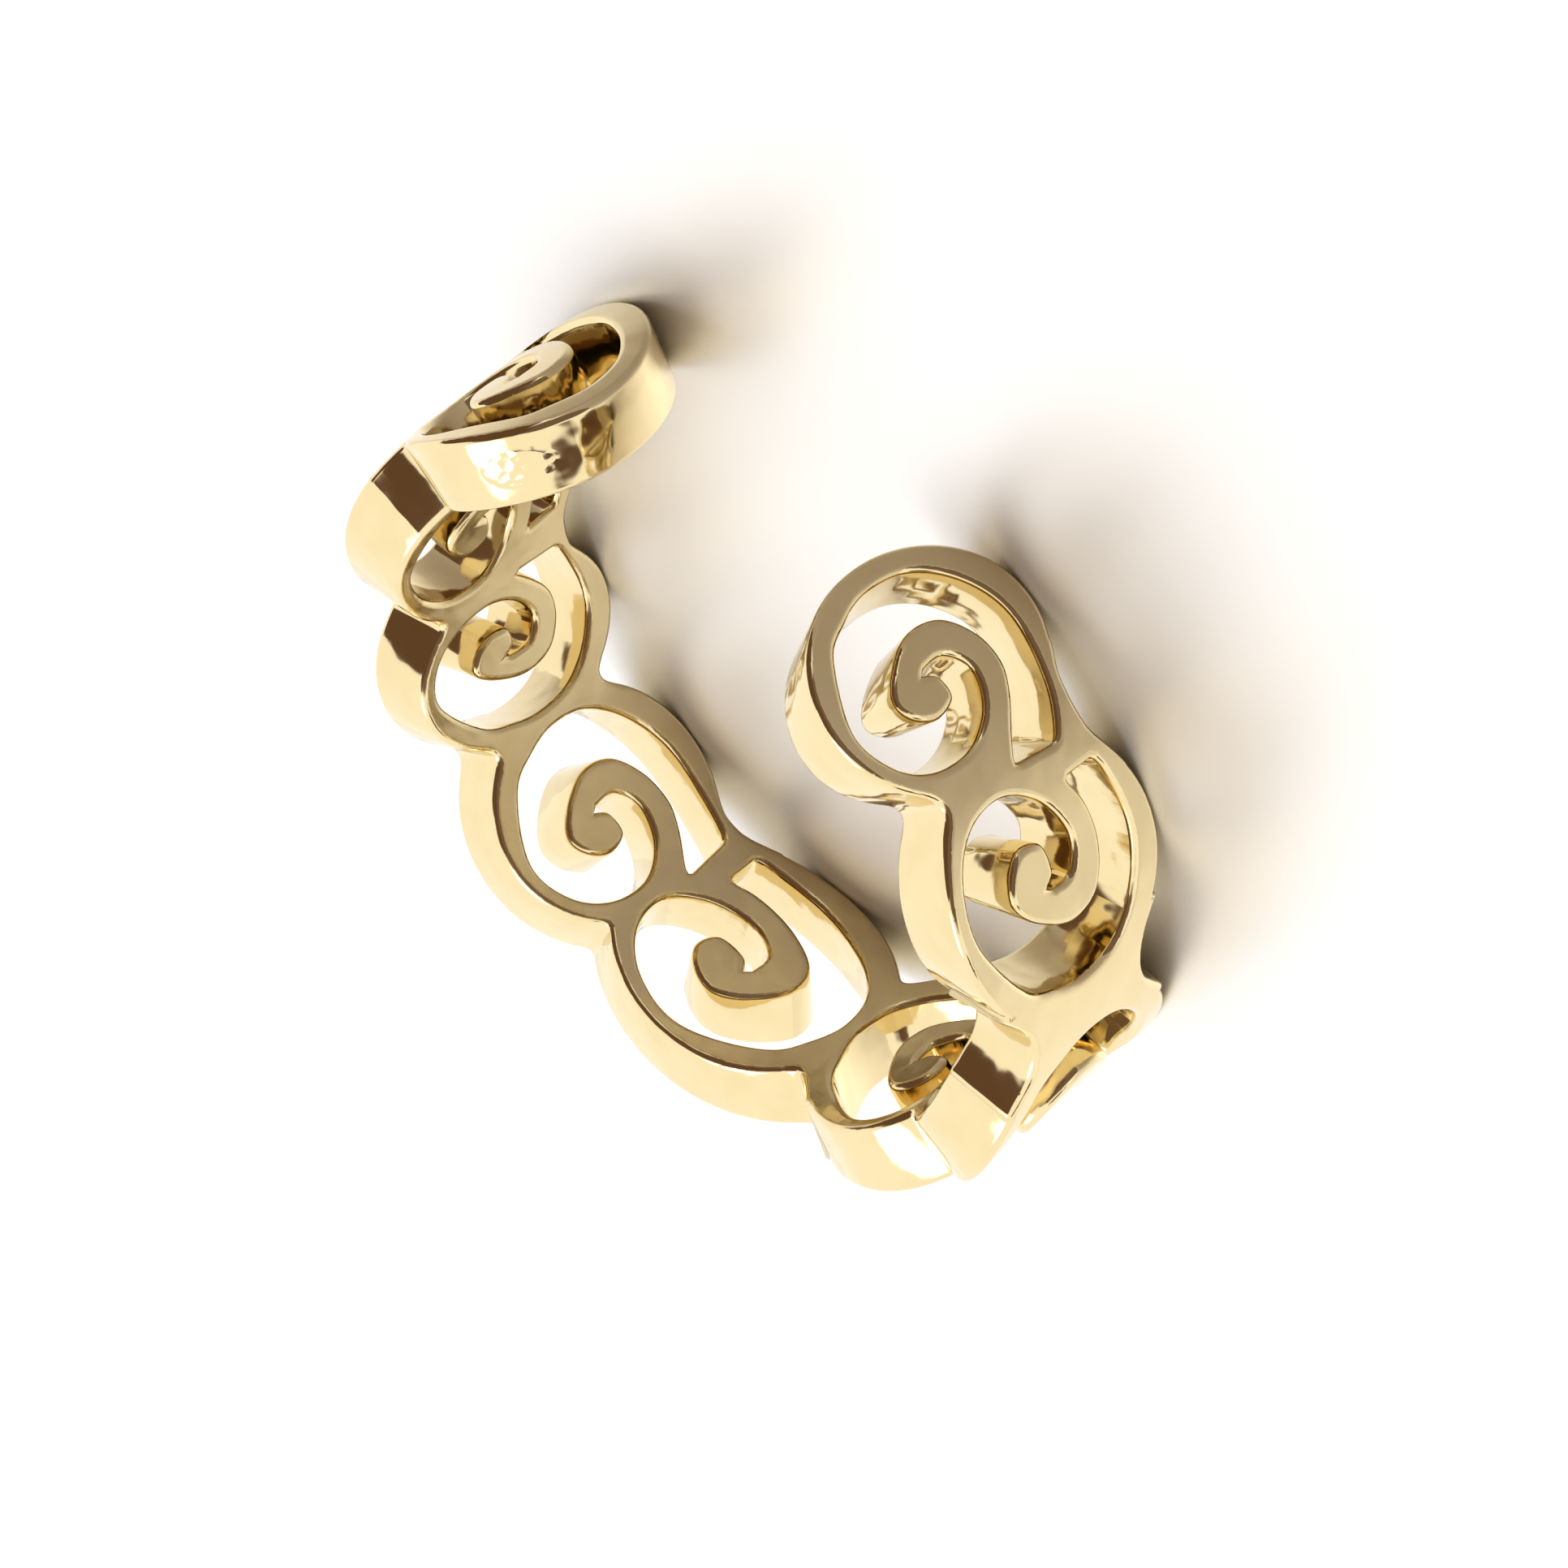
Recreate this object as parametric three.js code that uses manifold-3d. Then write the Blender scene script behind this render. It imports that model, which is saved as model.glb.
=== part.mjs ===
// Ear cuff: one cast band, bent round into a C, made of nine pierced scroll lobes.
// Millimetres, +Z up. The cuff lies on its side, on the edges of its lobes, mouth towards +Y.
// Flat drawing coordinates: s runs along the inner face of the band, v across it
// (positive upwards) and r outwards through the metal.
import * as THREE from 'three';
import { mergeVertices } from 'three/addons/utils/BufferGeometryUtils.js';
import Module from 'manifold-3d';

const wasm = await Module();
wasm.setup();

// Driving dimensions.
const METAL = 1.12;              // thickness through the band
const HALF_WIDTH = 1.8;          // middle of the band to the edge of a lobe
const WAIST = 1.06;              // middle of the band to the notch between two lobes
const TWIN_WAIST = 1.4;          // the same on the far side, where two scrolls share a root
const NOTCH_FLARE = 0.75;        // how fast the notch opens into the lobes
const BEND = [                   // inner radius of the band up to each station
  { upTo: -7.5, radius: 4.2 },
  { upTo: 4.3, radius: 5.3 },
  { upTo: 6.8, radius: 3.4 },
  { upTo: 20, radius: 5 },
];
const LOBES = [                  // station, half length, side of the root, slot start
  { at: -11.95, half: 1.6, root: 1, start: 0.75 },
  { at: -8.9, half: 1.8, root: 1, start: 0.56 },
  { at: -6.25, half: 1.32, root: -1, start: 0.84 },
  { at: -3.55, half: 1.75, root: 1, start: 0.89 },
  { at: -0.4, half: 2.3, root: -1, start: 0.52 },
  { at: 3.1, half: 1.8, root: 1, start: 0.66 },
  { at: 5.55, half: 1.7, root: -1, start: 0.43 },
  { at: 9.15, half: 1.75, root: 1, start: 0.54 },
  { at: 11.9, half: 1.35, root: -1, start: 1.09 },
];
const JOINTS = [-10.6, -7.4, -5, -2.15, 1.35, 4.4, 7.3, 10.55];
const TWIN_JOINTS = [-7.4, -2.15, 4.4, 10.55];

// Edges of the scroll slot in lobe units: along the band away from the root, across it.
const SLOT_OUTER = [
  [-1.2, -0.42], [-0.72, -0.66], [-0.06, -0.76], [0.4, -0.62], [0.7, -0.34], [0.78, 0],
  [0.7, 0.3], [0.52, 0.57], [0, 0.83], [-0.4, 0.74], [-0.64, 0.48], [-0.68, 0.14],
  [-0.5, -0.13], [-0.2, -0.24], [0.02, -0.12], [0.03, 0.07],
];
const SLOT_INNER = [
  [0, 0.11], [-0.08, 0.01], [-0.28, 0.02], [-0.34, 0.22], [-0.22, 0.39], [-0.03, 0.44],
  [0.17, 0.29], [0.33, 0], [0.27, -0.28], [0, -0.45], [-0.3, -0.48], [-0.54, -0.39],
  [-0.8, -0.22], [-1.01, -0.1],
];

const FACET_TURN = 8;            // turn of one flat of the band, degrees
const BACK_TURN = -10;           // turn of the band straight across from the mouth, degrees
const EDGE_POINTS = 32;          // points round a lobe
const SLOT_POINTS = 28;          // points along one edge of a slot
const SPARE_IN = 0.4;            // how far the cutting shapes run past the inner face
const SPARE_OUT = 3.6;           // and how far out from it
const ENDS = [-13.6, 13.8];      // the plain band before the lobes are cut

const rad = THREE.MathUtils.degToRad;

// Point and turn of the inner face at station s.
function along(s) {
  const step = Math.sign(s) || 1;
  let here = 0, x = 0, y = 0, turn = 0;
  while (Math.abs(s - here) > 1e-9) {
    const arc = BEND.find((b) => (step > 0 ? here < b.upTo - 1e-9 : here <= b.upTo + 1e-9));
    const before = BEND[BEND.indexOf(arc) - 1];
    const edge = step > 0 ? arc.upTo : (before ? before.upTo : -20);
    const next = step > 0 ? Math.min(s, edge) : Math.max(s, edge);
    const turned = turn + (next - here) / arc.radius;
    x += arc.radius * (Math.sin(turned) - Math.sin(turn));
    y += arc.radius * (Math.cos(turn) - Math.cos(turned));
    turn = turned;
    here = next;
  }
  return { x, y, turn };
}

// A flat drawing point (s, v, r) bent onto the band, with the mouth turned towards +Y.
function bent(s, v, r) {
  const p = along(s);
  const x = p.x + r * Math.sin(p.turn);
  const y = p.y - r * Math.cos(p.turn);
  const t = rad(BACK_TURN);
  return [x * Math.cos(t) + y * Math.sin(t), y * Math.cos(t) - x * Math.sin(t), v];
}

function toSolid(geometry) {
  geometry.deleteAttribute('normal');
  geometry.deleteAttribute('uv');
  const merged = mergeVertices(geometry, 1e-5);
  const mesh = new wasm.Mesh({
    numProp: 3,
    vertProperties: new Float32Array(merged.attributes.position.array),
    triVerts: new Uint32Array(merged.index.array),
  });
  return new wasm.Manifold(mesh);
}

// A flat outline pushed through the metal and bent onto the band.
function bentPrism(points) {
  const shape = new THREE.Shape(points.map(([s, v]) => new THREE.Vector2(s, v)));
  const depth = SPARE_IN + SPARE_OUT;
  const geometry = new THREE.ExtrudeGeometry(shape, { depth, bevelEnabled: false });
  const place = geometry.attributes.position;
  for (let i = 0; i < place.count; i += 1) {
    const r = place.getZ(i) - SPARE_IN;
    place.setXYZ(i, ...bent(place.getX(i), place.getY(i), r));
  }
  return toSolid(geometry);
}

// Stations where one flat of the band ends and the next begins.
function stations() {
  const found = [];
  const fine = 0.002;
  let last = null;
  for (let s = ENDS[0]; s <= ENDS[1]; s += fine) {
    const flat = Math.floor(THREE.MathUtils.radToDeg(along(s).turn) / FACET_TURN);
    if (flat !== last) found.push(s);
    last = flat;
  }
  if (ENDS[1] - found.at(-1) > 0.05) found.push(ENDS[1]);
  return found;
}

// The plain C-shaped band the lobes are cut from.
function plainBand() {
  const cuts = stations();
  const inner = cuts.map((s) => bent(s, 0, 0));
  const outer = cuts.map((s) => bent(s, 0, METAL)).reverse();
  const shape = new THREE.Shape([...outer, ...inner].map(([x, y]) => new THREE.Vector2(x, y)));
  const depth = 2 * HALF_WIDTH + 1;
  const geometry = new THREE.ExtrudeGeometry(shape, { depth, bevelEnabled: false });
  geometry.translate(0, 0, -depth / 2);
  return toSolid(geometry);
}

function lobeOutline(lobe) {
  return Array.from({ length: EDGE_POINTS }, (_, i) => {
    const a = (2 * Math.PI * (i + 0.5)) / EDGE_POINTS;
    return [lobe.at + lobe.half * Math.cos(a), HALF_WIDTH * Math.sin(a)];
  });
}

// The solid web between two lobes, flared so that it runs into them softly.
function webOutline(joint) {
  const far = TWIN_JOINTS.includes(joint) ? TWIN_WAIST : WAIST;
  const reach = [-0.8, -0.55, -0.3, 0, 0.3, 0.55, 0.8];
  const near = reach.map((d) => [joint + d, WAIST + NOTCH_FLARE * d * d]);
  const back = reach.map((d) => [joint - d, -(far + 0.4 * NOTCH_FLARE * d * d)]);
  return [...back, ...near];
}

// Samples of one slot edge, without the part nearer the root than the slot's start.
function slotEdge(marks, start) {
  const curve = new THREE.SplineCurve(marks.map(([u, w]) => new THREE.Vector2(u, w)));
  const samples = curve.getSpacedPoints(SLOT_POINTS).map((p) => [p.x, p.y]);
  const half = samples.length / 2;
  const outwards = marks === SLOT_OUTER ? 1 : -1;
  return samples.filter(([u], i) => {
    const nearRoot = outwards > 0 ? i < half : i > half;
    return !(nearRoot && u < -start);
  });
}

function slotOutline(lobe) {
  const edges = [...slotEdge(SLOT_OUTER, lobe.start), ...slotEdge(SLOT_INNER, lobe.start)];
  return edges.map(([u, w]) => [lobe.at - lobe.root * lobe.half * u, HALF_WIDTH * w]);
}

function band() {
  const lobes = LOBES.map((lobe) => bentPrism(lobeOutline(lobe)));
  const webs = JOINTS.map((joint) => bentPrism(webOutline(joint)));
  const slots = LOBES.map((lobe) => bentPrism(slotOutline(lobe)));
  const outline = [...lobes, ...webs].reduce((all, one) => all.add(one));
  return slots.reduce((all, one) => all.subtract(one), plainBand().intersect(outline));
}

function toMesh(solid, name, material) {
  const mesh = solid.getMesh();
  const geometry = new THREE.BufferGeometry();
  const places = [];
  for (let i = 0; i < mesh.vertProperties.length; i += mesh.numProp) {
    places.push(...mesh.vertProperties.subarray(i, i + 3));
  }
  geometry.setAttribute('position', new THREE.Float32BufferAttribute(places, 3));
  geometry.setIndex([...mesh.triVerts]);
  const object = new THREE.Mesh(geometry, material);
  object.name = name;
  return object;
}

const gold = new THREE.MeshStandardMaterial({ color: '#d6b56a', roughness: 0.15, metalness: 1 });
gold.name = 'polished gold';

const cuff = toMesh(band(), 'scroll_band', gold);
cuff.geometry.computeBoundingBox();
const box = cuff.geometry.boundingBox;
const middle = box.getCenter(new THREE.Vector3());
cuff.geometry.translate(-middle.x, -middle.y, -box.min.z);

const part = new THREE.Group();
part.name = 'ear_cuff';
part.add(cuff);

export default part;
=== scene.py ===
import math

import bmesh
import bpy
from mathutils import Matrix, Vector


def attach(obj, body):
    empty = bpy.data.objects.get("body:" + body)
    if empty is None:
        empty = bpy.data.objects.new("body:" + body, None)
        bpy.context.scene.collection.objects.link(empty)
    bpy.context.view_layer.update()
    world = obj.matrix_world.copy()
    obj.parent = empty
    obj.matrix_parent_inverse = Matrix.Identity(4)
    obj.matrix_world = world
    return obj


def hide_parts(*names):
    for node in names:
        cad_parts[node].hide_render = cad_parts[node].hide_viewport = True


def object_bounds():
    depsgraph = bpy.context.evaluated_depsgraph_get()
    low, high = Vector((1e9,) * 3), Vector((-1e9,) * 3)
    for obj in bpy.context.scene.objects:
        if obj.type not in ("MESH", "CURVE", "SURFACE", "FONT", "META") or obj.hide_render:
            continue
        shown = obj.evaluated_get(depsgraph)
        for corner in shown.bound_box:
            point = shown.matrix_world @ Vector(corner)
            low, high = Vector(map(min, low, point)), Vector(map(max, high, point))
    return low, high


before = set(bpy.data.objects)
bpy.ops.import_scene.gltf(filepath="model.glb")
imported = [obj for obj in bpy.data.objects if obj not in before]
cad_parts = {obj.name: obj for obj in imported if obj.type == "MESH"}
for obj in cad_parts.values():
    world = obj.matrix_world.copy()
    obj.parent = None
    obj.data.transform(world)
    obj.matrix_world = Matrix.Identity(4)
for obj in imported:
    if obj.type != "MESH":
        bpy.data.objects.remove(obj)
cad_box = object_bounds()

MM = 0.001

# Flat drawing of the band, in millimetres: s along its inner face, v across it.
METAL = 1.12
HALF_WIDTH = 1.79
WAIST = 1.06
TWIN_WAIST = 1.4
NOTCH_FLARE = 0.75
SOFT_NOTCH = 0.16
# Arcs of the band: where each ends along s, and its radius.
BEND = [(-7.5, 4.2), (4.3, 5.3), (6.8, 3.4), (20.0, 5.0)]
BEND_BLEND = 0.9
BACK_TURN = math.radians(-10)
# Middle, half length, side of the root and start of the slot, for each lobe.
LOBES = [
    (-11.95, 1.6, 1, 0.75),
    (-8.9, 1.8, 1, 0.56),
    (-6.25, 1.32, -1, 0.84),
    (-3.55, 1.75, 1, 0.89),
    (-0.4, 2.3, -1, 0.52),
    (3.1, 1.8, 1, 0.66),
    (5.55, 1.7, -1, 0.43),
    (9.15, 1.75, 1, 0.54),
    (11.9, 1.35, -1, 1.09),
]
JOINTS = [-10.6, -7.4, -5.0, -2.15, 1.35, 4.4, 7.3, 10.55]
TWIN_JOINTS = [-7.4, -2.15, 4.4, 10.55]
# The two edges of a spiral slot, in lobe half lengths and band half widths.
SLOT_OUTER = [
    (-1.2, -0.42), (-0.72, -0.66), (-0.06, -0.76), (0.4, -0.62), (0.7, -0.34), (0.78, 0.0),
    (0.7, 0.3), (0.52, 0.57), (0.0, 0.83), (-0.4, 0.74), (-0.64, 0.48), (-0.68, 0.14),
    (-0.5, -0.13), (-0.2, -0.24), (0.02, -0.12), (0.03, 0.07),
]
SLOT_INNER = [
    (0.0, 0.11), (-0.08, 0.01), (-0.28, 0.02), (-0.34, 0.22), (-0.22, 0.39), (-0.03, 0.44),
    (0.17, 0.29), (0.33, 0.0), (0.27, -0.28), (0.0, -0.45), (-0.3, -0.48), (-0.54, -0.39),
    (-0.8, -0.22), (-1.01, -0.1),
]
# Radius that polishing leaves on every edge.
EDGE_ROUND = 0.1
# Middle of the small punched patch on the edge of the first lobe.
PUNCHED_PATCH = (-12.95, 1.3, 0.56)
EDGE_STEPS = 3
OUTLINE_STEP = 0.05
SLICE = 0.13


def bend_rate(s):
    """How sharply the band turns at s, eased from one arc to the next."""
    rate = 1 / BEND[0][1]
    for (edge, radius), (_, after) in zip(BEND, BEND[1:]):
        blend = min(max((s - edge) / BEND_BLEND + 0.5, 0.0), 1.0)
        rate += (1 / after - 1 / radius) * blend * blend * (3 - 2 * blend)
    return rate


def walk_band(end, step):
    """Points of the inner face from s = 0 to end: (s, x, y, turn)."""
    found = [(0.0, 0.0, 0.0, 0.0)]
    s, x, y, turn = found[0]
    while abs(s) < abs(end):
        turned = turn + step * bend_rate(s + step / 2)
        middle = (turn + turned) / 2
        x += step * math.cos(middle)
        y += step * math.sin(middle)
        turn = turned
        s += step
        found.append((s, x, y, turn))
    return found


STEP = 0.01
BAND = walk_band(-14.5, -STEP)[:0:-1] + walk_band(14.5, STEP)
FIRST = BAND[0][0]


def along(s):
    place = (s - FIRST) / STEP
    i = min(max(int(place), 0), len(BAND) - 2)
    part = place - i
    return tuple(a + (b - a) * part for a, b in zip(BAND[i][1:], BAND[i + 1][1:]))


def bent(s, v, r):
    """A drawing point bent onto the band, mouth towards +Y, before it is centred."""
    x, y, turn = along(s)
    x += r * math.sin(turn)
    y -= r * math.cos(turn)
    c, t = math.cos(BACK_TURN), math.sin(BACK_TURN)
    return Vector((x * c + y * t, y * c - x * t, v))


def bent_normal(s, normal):
    """A surface direction of the flat drawing, turned with the band there."""
    turn = along(s)[2] - BACK_TURN
    way = Vector((math.cos(turn), math.sin(turn), 0))
    out = Vector((math.sin(turn), -math.cos(turn), 0))
    return (way * normal[0] + Vector((0, 0, 1)) * normal[1] + out * normal[2]).normalized()


def soft_max(a, b, soft):
    near = max(soft - abs(a - b), 0.0)
    return max(a, b) + near * near / (4 * soft)


def half_width(s, side):
    """Distance from the middle of the band to its edge on one side."""
    wide = 0.0
    for at, half, _, _ in LOBES:
        if abs(s - at) < half:
            wide = soft_max(wide, HALF_WIDTH * math.sqrt(1 - ((s - at) / half) ** 2), SOFT_NOTCH)
    for joint in JOINTS:
        off = abs(s - joint)
        if off < 0.8:
            if side < 0 and joint in TWIN_JOINTS:
                web = TWIN_WAIST + 0.4 * NOTCH_FLARE * off * off
            else:
                web = WAIST + NOTCH_FLARE * off * off
            wide = soft_max(wide, web, SOFT_NOTCH)
    return wide


def band_outline():
    """The whole scalloped outline, round the end lobes and along both edges."""
    first, last = LOBES[0], LOBES[-1]
    turns = [math.pi * (0.5 + i / 48) for i in range(1, 48)]
    start = [(first[0] + first[1] * math.cos(a), HALF_WIDTH * math.sin(a)) for a in turns]
    end = [(last[0] - last[1] * math.cos(a), -HALF_WIDTH * math.sin(a)) for a in turns]
    count = round((last[0] - first[0]) / OUTLINE_STEP)
    stations = [first[0] + (last[0] - first[0]) * i / count for i in range(count + 1)]
    lower = [(s, -half_width(s, -1)) for s in stations]
    upper = [(s, half_width(s, 1)) for s in reversed(stations)]
    return start + lower + end + upper


def smooth_line(marks, per_span):
    """A curve through the marks."""
    ends = [marks[0]] + list(marks) + [marks[-1]]
    found = []
    for a, b, c, d in zip(ends, ends[1:], ends[2:], ends[3:]):
        for i in range(per_span):
            t = i / per_span
            found.append(tuple(
                0.5 * (2 * q + (r - p) * t + (2 * p - 5 * q + 4 * r - w) * t * t
                       + (3 * q - p - 3 * r + w) * t ** 3)
                for p, q, r, w in zip(a, b, c, d)
            ))
    return found + [marks[-1]]


def slot_outline(at, half, root, start):
    """The spiral slot of one lobe, cut flat where it starts beside the root."""
    outer = smooth_line(SLOT_OUTER, 9)
    inner = smooth_line(SLOT_INNER, 9)
    outer = [p for i, p in enumerate(outer) if i > 60 or p[0] > -start]
    inner = [p for i, p in enumerate(inner) if i < 60 or p[0] > -start]
    points = [(at - root * half * u, HALF_WIDTH * w) for u, w in outer + inner]
    return round_corners(points, 0.07)


def round_corners(points, radius):
    """The two square corners of the slot's start, eased."""
    a, b = Vector(points[0]), Vector(points[-1])
    across = (b - a).normalized()
    keep = [p for p in points if (Vector(p) - a).length > radius and (Vector(p) - b).length > radius]
    first = [a + across * radius, a + across * radius * 0.3 + (Vector(keep[0]) - a) * 0.3]
    last = [b - across * radius * 0.3 + (Vector(keep[-1]) - b) * 0.3, b - across * radius]
    return [tuple(p) for p in first] + keep + [tuple(p) for p in last]


def add_spline(curve, points):
    spline = curve.splines.new("POLY")
    spline.points.add(len(points) - 1)
    for place, (s, v) in zip(spline.points, points):
        place.co = (s, v, 0, 1)
    spline.use_cyclic_u = True


def flat_band():
    """The pierced band as a flat plate with rounded edges, in millimetres."""
    curve = bpy.data.curves.new("flat band", "CURVE")
    curve.dimensions = "2D"
    curve.fill_mode = "BOTH"
    curve.extrude = METAL / 2 - EDGE_ROUND
    curve.bevel_depth = EDGE_ROUND
    curve.bevel_resolution = EDGE_STEPS
    curve.offset = -EDGE_ROUND
    add_spline(curve, band_outline())
    for lobe in LOBES:
        add_spline(curve, slot_outline(*lobe))
    plate = bpy.data.objects.new("flat band", curve)
    bpy.context.collection.objects.link(plate)
    bpy.context.view_layer.update()
    mesh = bpy.data.meshes.new_from_object(plate.evaluated_get(bpy.context.evaluated_depsgraph_get()))
    bpy.data.objects.remove(plate)
    return mesh


def slice_plate(mesh):
    """Cuts the plate into narrow strips across, so that it can bend smoothly."""
    bm = bmesh.new()
    bm.from_mesh(mesh)
    bmesh.ops.remove_doubles(bm, verts=bm.verts, dist=1e-4)
    low = min(v.co.x for v in bm.verts)
    high = max(v.co.x for v in bm.verts)
    count = round((high - low) / SLICE)
    for i in range(1, count):
        s = low + (high - low) * i / count
        near = [f for f in bm.faces
                if min(v.co.x for v in f.verts) < s < max(v.co.x for v in f.verts)]
        parts = set(near)
        for f in near:
            parts.update(f.edges)
            parts.update(f.verts)
        bmesh.ops.bisect_plane(bm, geom=list(parts), plane_co=(s, 0, 0), plane_no=(1, 0, 0),
                               dist=1e-5)
    bmesh.ops.recalc_face_normals(bm, faces=bm.faces)
    bm.to_mesh(mesh)
    bm.free()


def flat_normals(mesh):
    """Directions of the flat plate: its faces stay flat up to the rounded edges."""
    sides = [[] for _ in mesh.vertices]
    for face in mesh.polygons:
        if face.area < 1e-7:
            continue
        for i in face.vertices:
            if all(face.normal.dot(known) < 0.9998 for known in sides[i]):
                sides[i].append(face.normal.copy())
    found = []
    for known in sides:
        flat = [n for n in known if abs(n.z) > 0.9999]
        total = Vector((0, 0, 0))
        for n in flat or known:
            total += n
        found.append(total.normalized())
    return found


def bend_plate(mesh):
    """Bends the flat plate onto the band, in metres, keeping its drawing as an attribute."""
    low, high = cad_box
    normals = flat_normals(mesh)
    drawing = mesh.attributes.new("drawing", "FLOAT_VECTOR", "POINT")
    places = []
    turned = []
    for vertex, normal in zip(mesh.vertices, normals):
        s, v, r = vertex.co.x, vertex.co.y, vertex.co.z + METAL / 2
        drawing.data[vertex.index].vector = (s, v, r)
        places.append(bent(s, v, r))
        stretch = 1 + r * bend_rate(s)
        turned.append(bent_normal(s, (normal.x / stretch, normal.y, normal.z)))
    xs = [p.x for p in places]
    ys = [p.y for p in places]
    shift = Vector((
        (low[0] + high[0]) / 2 / MM - (min(xs) + max(xs)) / 2,
        (low[1] + high[1]) / 2 / MM - (min(ys) + max(ys)) / 2,
        low[2] / MM - min(p.z for p in places),
    ))
    for vertex, place in zip(mesh.vertices, places):
        vertex.co = (place + shift) * MM
    for face in mesh.polygons:
        face.use_smooth = True
    mesh.normals_split_custom_set_from_vertices(turned)


def linear(hex_colour):
    parts = [int(hex_colour[i:i + 2], 16) / 255 for i in (1, 3, 5)]
    return [c / 12.92 if c < 0.04045 else ((c + 0.055) / 1.055) ** 2.4 for c in parts] + [1.0]


def add_node(tree, kind, inputs=(), **settings):
    """Adds a node; inputs are (socket, value or output socket) pairs."""
    node = tree.nodes.new(kind)
    for name, value in settings.items():
        setattr(node, name, value)
    for name, value in inputs:
        if isinstance(value, bpy.types.NodeSocket):
            tree.links.new(value, node.inputs[name])
        else:
            node.inputs[name].default_value = value
    return node


def polished_gold():
    """14 carat yellow gold, cast and polished.

    Polishing leaves a mirror with soft, slightly wavy reflections. The inner face is
    less finely finished and has scratches along the band.
    """
    material = bpy.data.materials.new("polished 14 carat gold")
    material.use_nodes = True
    tree = material.node_tree
    shader = tree.nodes["Principled BSDF"]
    drawing = add_node(tree, "ShaderNodeAttribute", attribute_name="drawing").outputs["Vector"]
    split = add_node(tree, "ShaderNodeSeparateXYZ", [("Vector", drawing)])
    inside = add_node(tree, "ShaderNodeMapRange", [
        ("Value", split.outputs["Z"]), ("From Min", 0.12), ("From Max", 0.0),
    ]).outputs["Result"]
    # Faint clouds of colour about 0.6 mm across.
    cloud = add_node(tree, "ShaderNodeTexNoise", [
        ("Vector", drawing), ("Scale", 1.6), ("Detail", 3.0),
    ]).outputs["Fac"]
    colour = add_node(tree, "ShaderNodeMix", [
        ("Factor", cloud), (6, linear("#EBDBB0")), (7, linear("#E0CC9A")),
    ], data_type="RGBA")
    tree.links.new(colour.outputs[2], shader.inputs["Base Color"])
    shader.inputs["Metallic"].default_value = 1.0
    # Scratches 0.025 mm apart and 0.3 mm long, on the inner face only.
    long_ways = add_node(tree, "ShaderNodeMapping", [("Vector", drawing), ("Scale", (3, 40, 40))])
    scratches = add_node(tree, "ShaderNodeTexNoise", [
        ("Vector", long_ways.outputs["Vector"]), ("Scale", 1.0), ("Detail", 4.0),
    ]).outputs["Fac"]
    wear = add_node(tree, "ShaderNodeMath", [
        (0, scratches), (1, inside),
    ], operation="MULTIPLY").outputs[0]
    rough = add_node(tree, "ShaderNodeMapRange", [
        ("Value", wear), ("From Min", 0.0), ("From Max", 1.0), ("To Min", 0.09), ("To Max", 0.24),
    ]).outputs["Result"]
    tree.links.new(rough, shader.inputs["Roughness"])
    # The hand-held polish leaves the surface wavy by about 1 mm.
    ripple = add_node(tree, "ShaderNodeTexNoise", [
        ("Vector", drawing), ("Scale", 1.1), ("Detail", 2.0),
    ]).outputs["Fac"]
    soft = add_node(tree, "ShaderNodeBump", [
        ("Strength", 0.6), ("Distance", 0.00008), ("Height", ripple),
    ])
    fine = add_node(tree, "ShaderNodeBump", [
        ("Strength", 0.25), ("Distance", 0.000004), ("Height", wear),
        ("Normal", soft.outputs["Normal"]),
    ])
    # Punched dots about 0.14 mm apart, coarser than real ones so that they show.
    near = add_node(tree, "ShaderNodeVectorMath", [
        (0, drawing), (1, PUNCHED_PATCH),
    ], operation="SUBTRACT").outputs[0]
    near = add_node(tree, "ShaderNodeVectorMath", [
        (0, near), (1, (2.4, 1.2, 3.2)),
    ], operation="MULTIPLY").outputs[0]
    near = add_node(tree, "ShaderNodeVectorMath", [(0, near)], operation="LENGTH").outputs["Value"]
    dots = add_node(tree, "ShaderNodeTexVoronoi", [("Vector", drawing), ("Scale", 7.0)])
    patch = add_node(tree, "ShaderNodeMapRange", [
        ("Value", near), ("From Min", 1.0), ("From Max", 0.8),
    ]).outputs["Result"]
    dents = add_node(tree, "ShaderNodeMath", [
        (0, dots.outputs["Distance"]), (1, patch),
    ], operation="MULTIPLY").outputs[0]
    punched = add_node(tree, "ShaderNodeBump", [
        ("Strength", 0.7), ("Distance", 0.00002), ("Height", dents),
        ("Normal", fine.outputs["Normal"]),
    ])
    tree.links.new(punched.outputs["Normal"], shader.inputs["Normal"])
    return material


def make_cuff():
    mesh = flat_band()
    slice_plate(mesh)
    bend_plate(mesh)
    mesh.materials.clear()
    mesh.materials.append(polished_gold())
    cuff = bpy.data.objects.new("scroll_cuff", mesh)
    bpy.context.collection.objects.link(cuff)
    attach(cuff, "root")
    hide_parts("scroll_band")
    return cuff


def make_floor():
    mesh = bpy.data.meshes.new("table_top")
    bm = bmesh.new()
    bmesh.ops.create_grid(bm, x_segments=1, y_segments=1, size=0.6)
    bm.to_mesh(mesh)
    bm.free()
    # A silvered reflector board, as laid under small jewellery.
    material = bpy.data.materials.new("satin silver reflector board")
    material.use_nodes = True
    shader = material.node_tree.nodes["Principled BSDF"]
    shader.inputs["Base Color"].default_value = linear("#FBFAF9")
    shader.inputs["Metallic"].default_value = 0.78
    shader.inputs["Roughness"].default_value = 0.48
    mesh.materials.append(material)
    floor = bpy.data.objects.new("table_top", mesh)
    bpy.context.collection.objects.link(floor)


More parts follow.
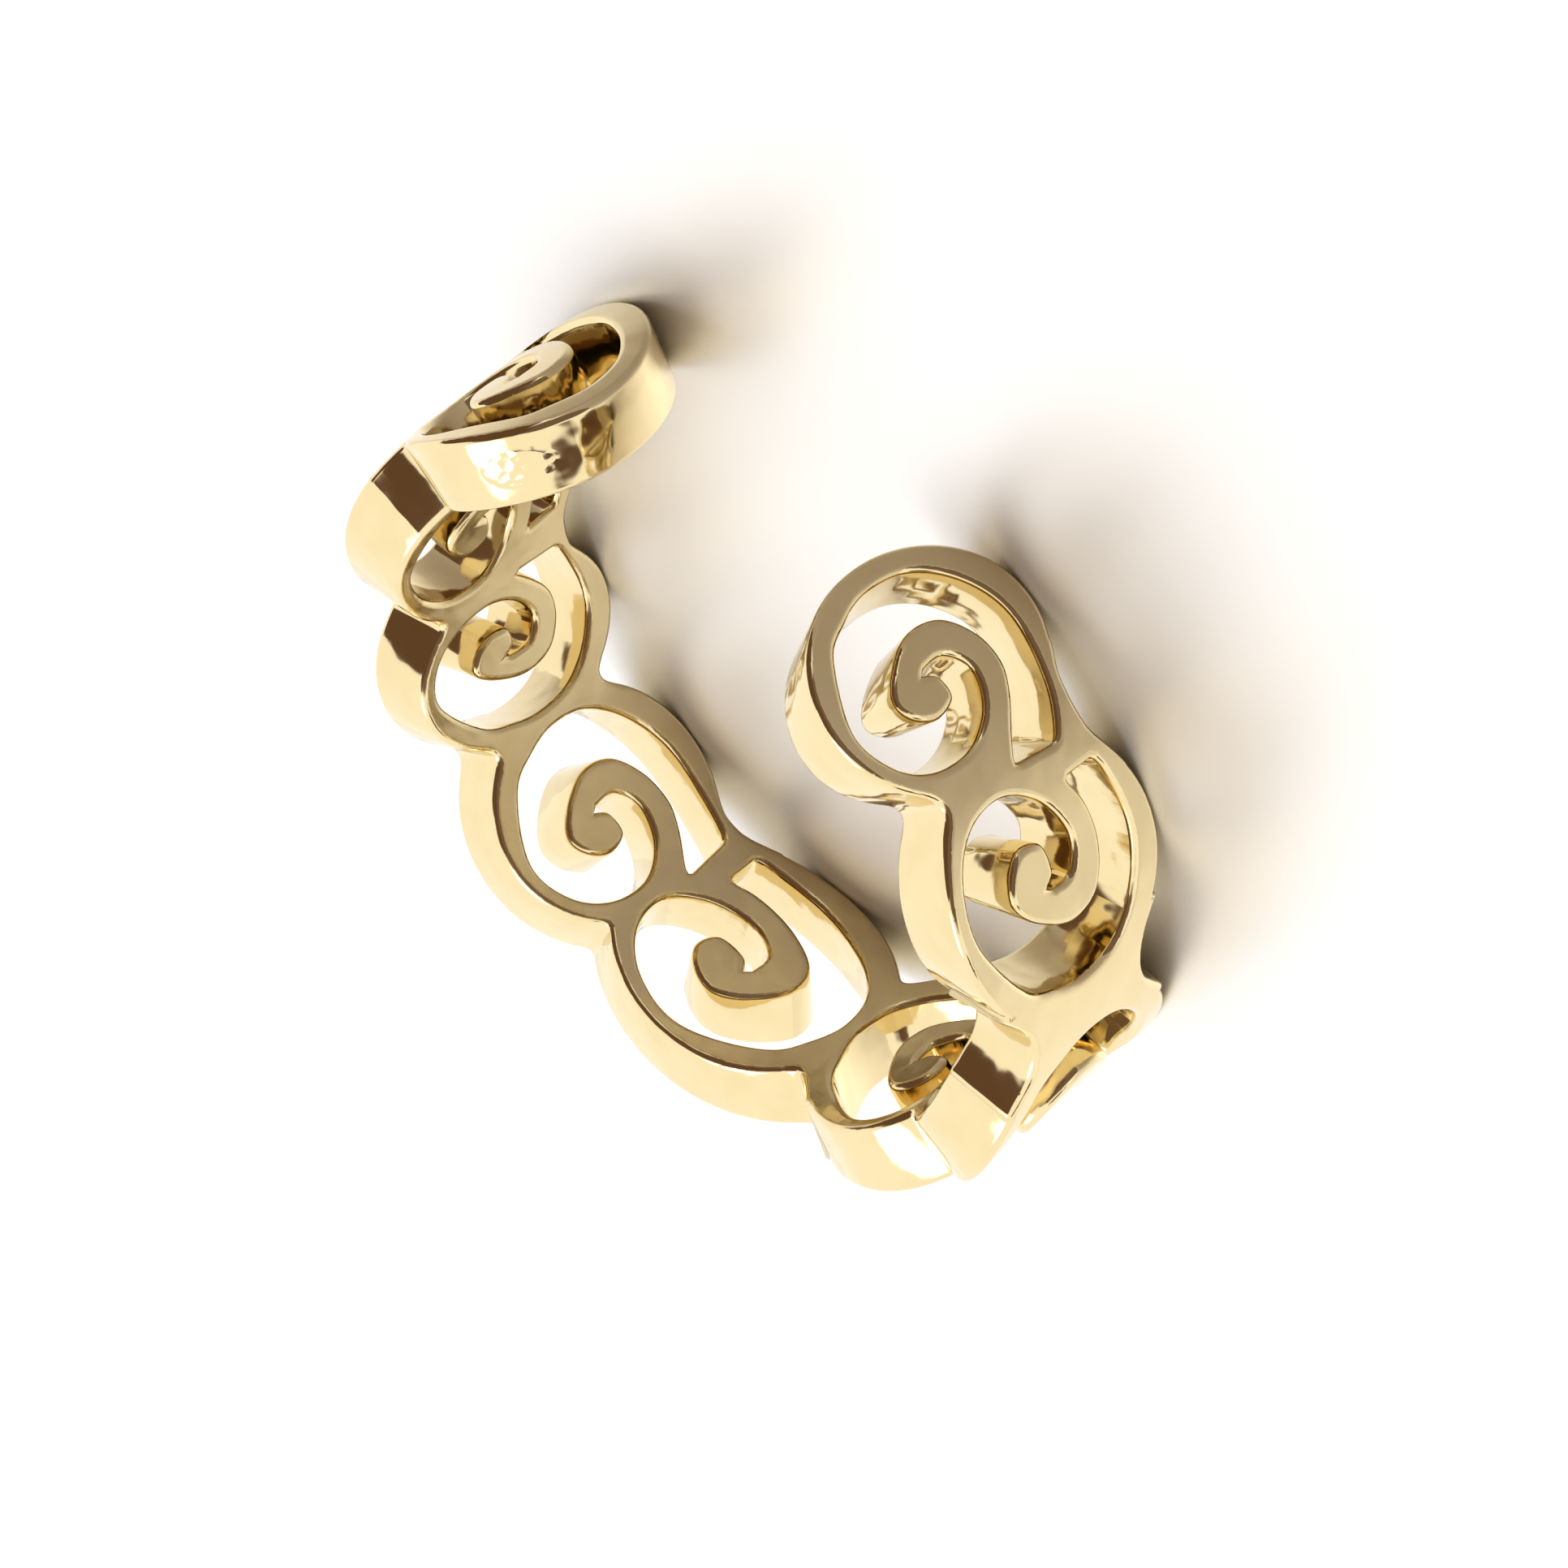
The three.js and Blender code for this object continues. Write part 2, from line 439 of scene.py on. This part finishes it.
# Dim openings of the tent, which the polished gold shows as dark patches:
# direction, inner and outer angle of the edge, brightness left.
OPENINGS = [
    ((0.31, 0.84, 0.45), 38, 48, 0.05),
    ((-0.75, 0.42, 0.42), 32, 36, 0.0),
    ((-0.2, 0.5, 0.84), 25, 29, 0.0),
    ((0.94, -0.1, 0.36), 7, 11, 0.0),
]

# Direction of the lamp behind the tent's roof.
LAMP = (0.15, -0.25, 0.95)


def round_patch(tree, way, facing, inner, outer, outside, inside):
    """A value that eases from outside to inside round one direction of the tent."""
    turn = add_node(tree, "ShaderNodeVectorMath", [
        (0, way), (1, Vector(facing).normalized()),
    ], operation="DOT_PRODUCT").outputs["Value"]
    return add_node(tree, "ShaderNodeMapRange", [
        ("Value", turn),
        ("From Min", math.cos(math.radians(outer))), ("From Max", math.cos(math.radians(inner))),
        ("To Min", outside), ("To Max", inside),
    ], interpolation_type="SMOOTHSTEP").outputs["Result"]


def make_light():
    """A soft white tent with dim openings, as round a jeweller's table."""
    world = bpy.data.worlds.new("light tent")
    bpy.context.scene.world = world
    bpy.context.scene.view_settings.view_transform = "Standard"
    world.use_nodes = True
    tree = world.node_tree
    way = add_node(tree, "ShaderNodeTexCoord").outputs["Generated"]
    shade = None
    for facing, inner, outer, left in OPENINGS:
        edge = round_patch(tree, way, facing, inner, outer, 1.0, left)
        shade = edge if shade is None else add_node(tree, "ShaderNodeMath", [
            (0, shade), (1, edge),
        ], operation="MULTIPLY").outputs[0]
    lamp = round_patch(tree, way, LAMP, 10, 16, 1.25, 5.0)
    colour = add_node(tree, "ShaderNodeMix", [
        ("Factor", shade), (6, linear("#5E4636")), (7, linear("#FFFDFB")),
    ], data_type="RGBA")
    tree.links.new(colour.outputs[2], tree.nodes["Background"].inputs["Color"])
    tree.links.new(lamp, tree.nodes["Background"].inputs["Strength"])


def make_camera():
    data = bpy.data.cameras.new("camera")
    data.lens = 130.4
    data.sensor_width = 36.0
    data.clip_start = 0.001
    data.clip_end = 5.0
    camera = bpy.data.objects.new("camera", data)
    bpy.context.collection.objects.link(camera)
    place = Vector((24.58, 64.57, 36.53)) * MM
    ahead = Vector((-0.3116, -0.8364, -0.451)).normalized()
    up = Vector((-0.6247, 0.5379, -0.566))
    back = -ahead
    right = up.cross(back).normalized()
    up = back.cross(right)
    turn = Matrix((right, up, back)).transposed().to_4x4()
    camera.matrix_world = Matrix.Translation(place) @ turn
    bpy.context.scene.camera = camera


make_cuff()
make_floor()
make_light()
make_camera()
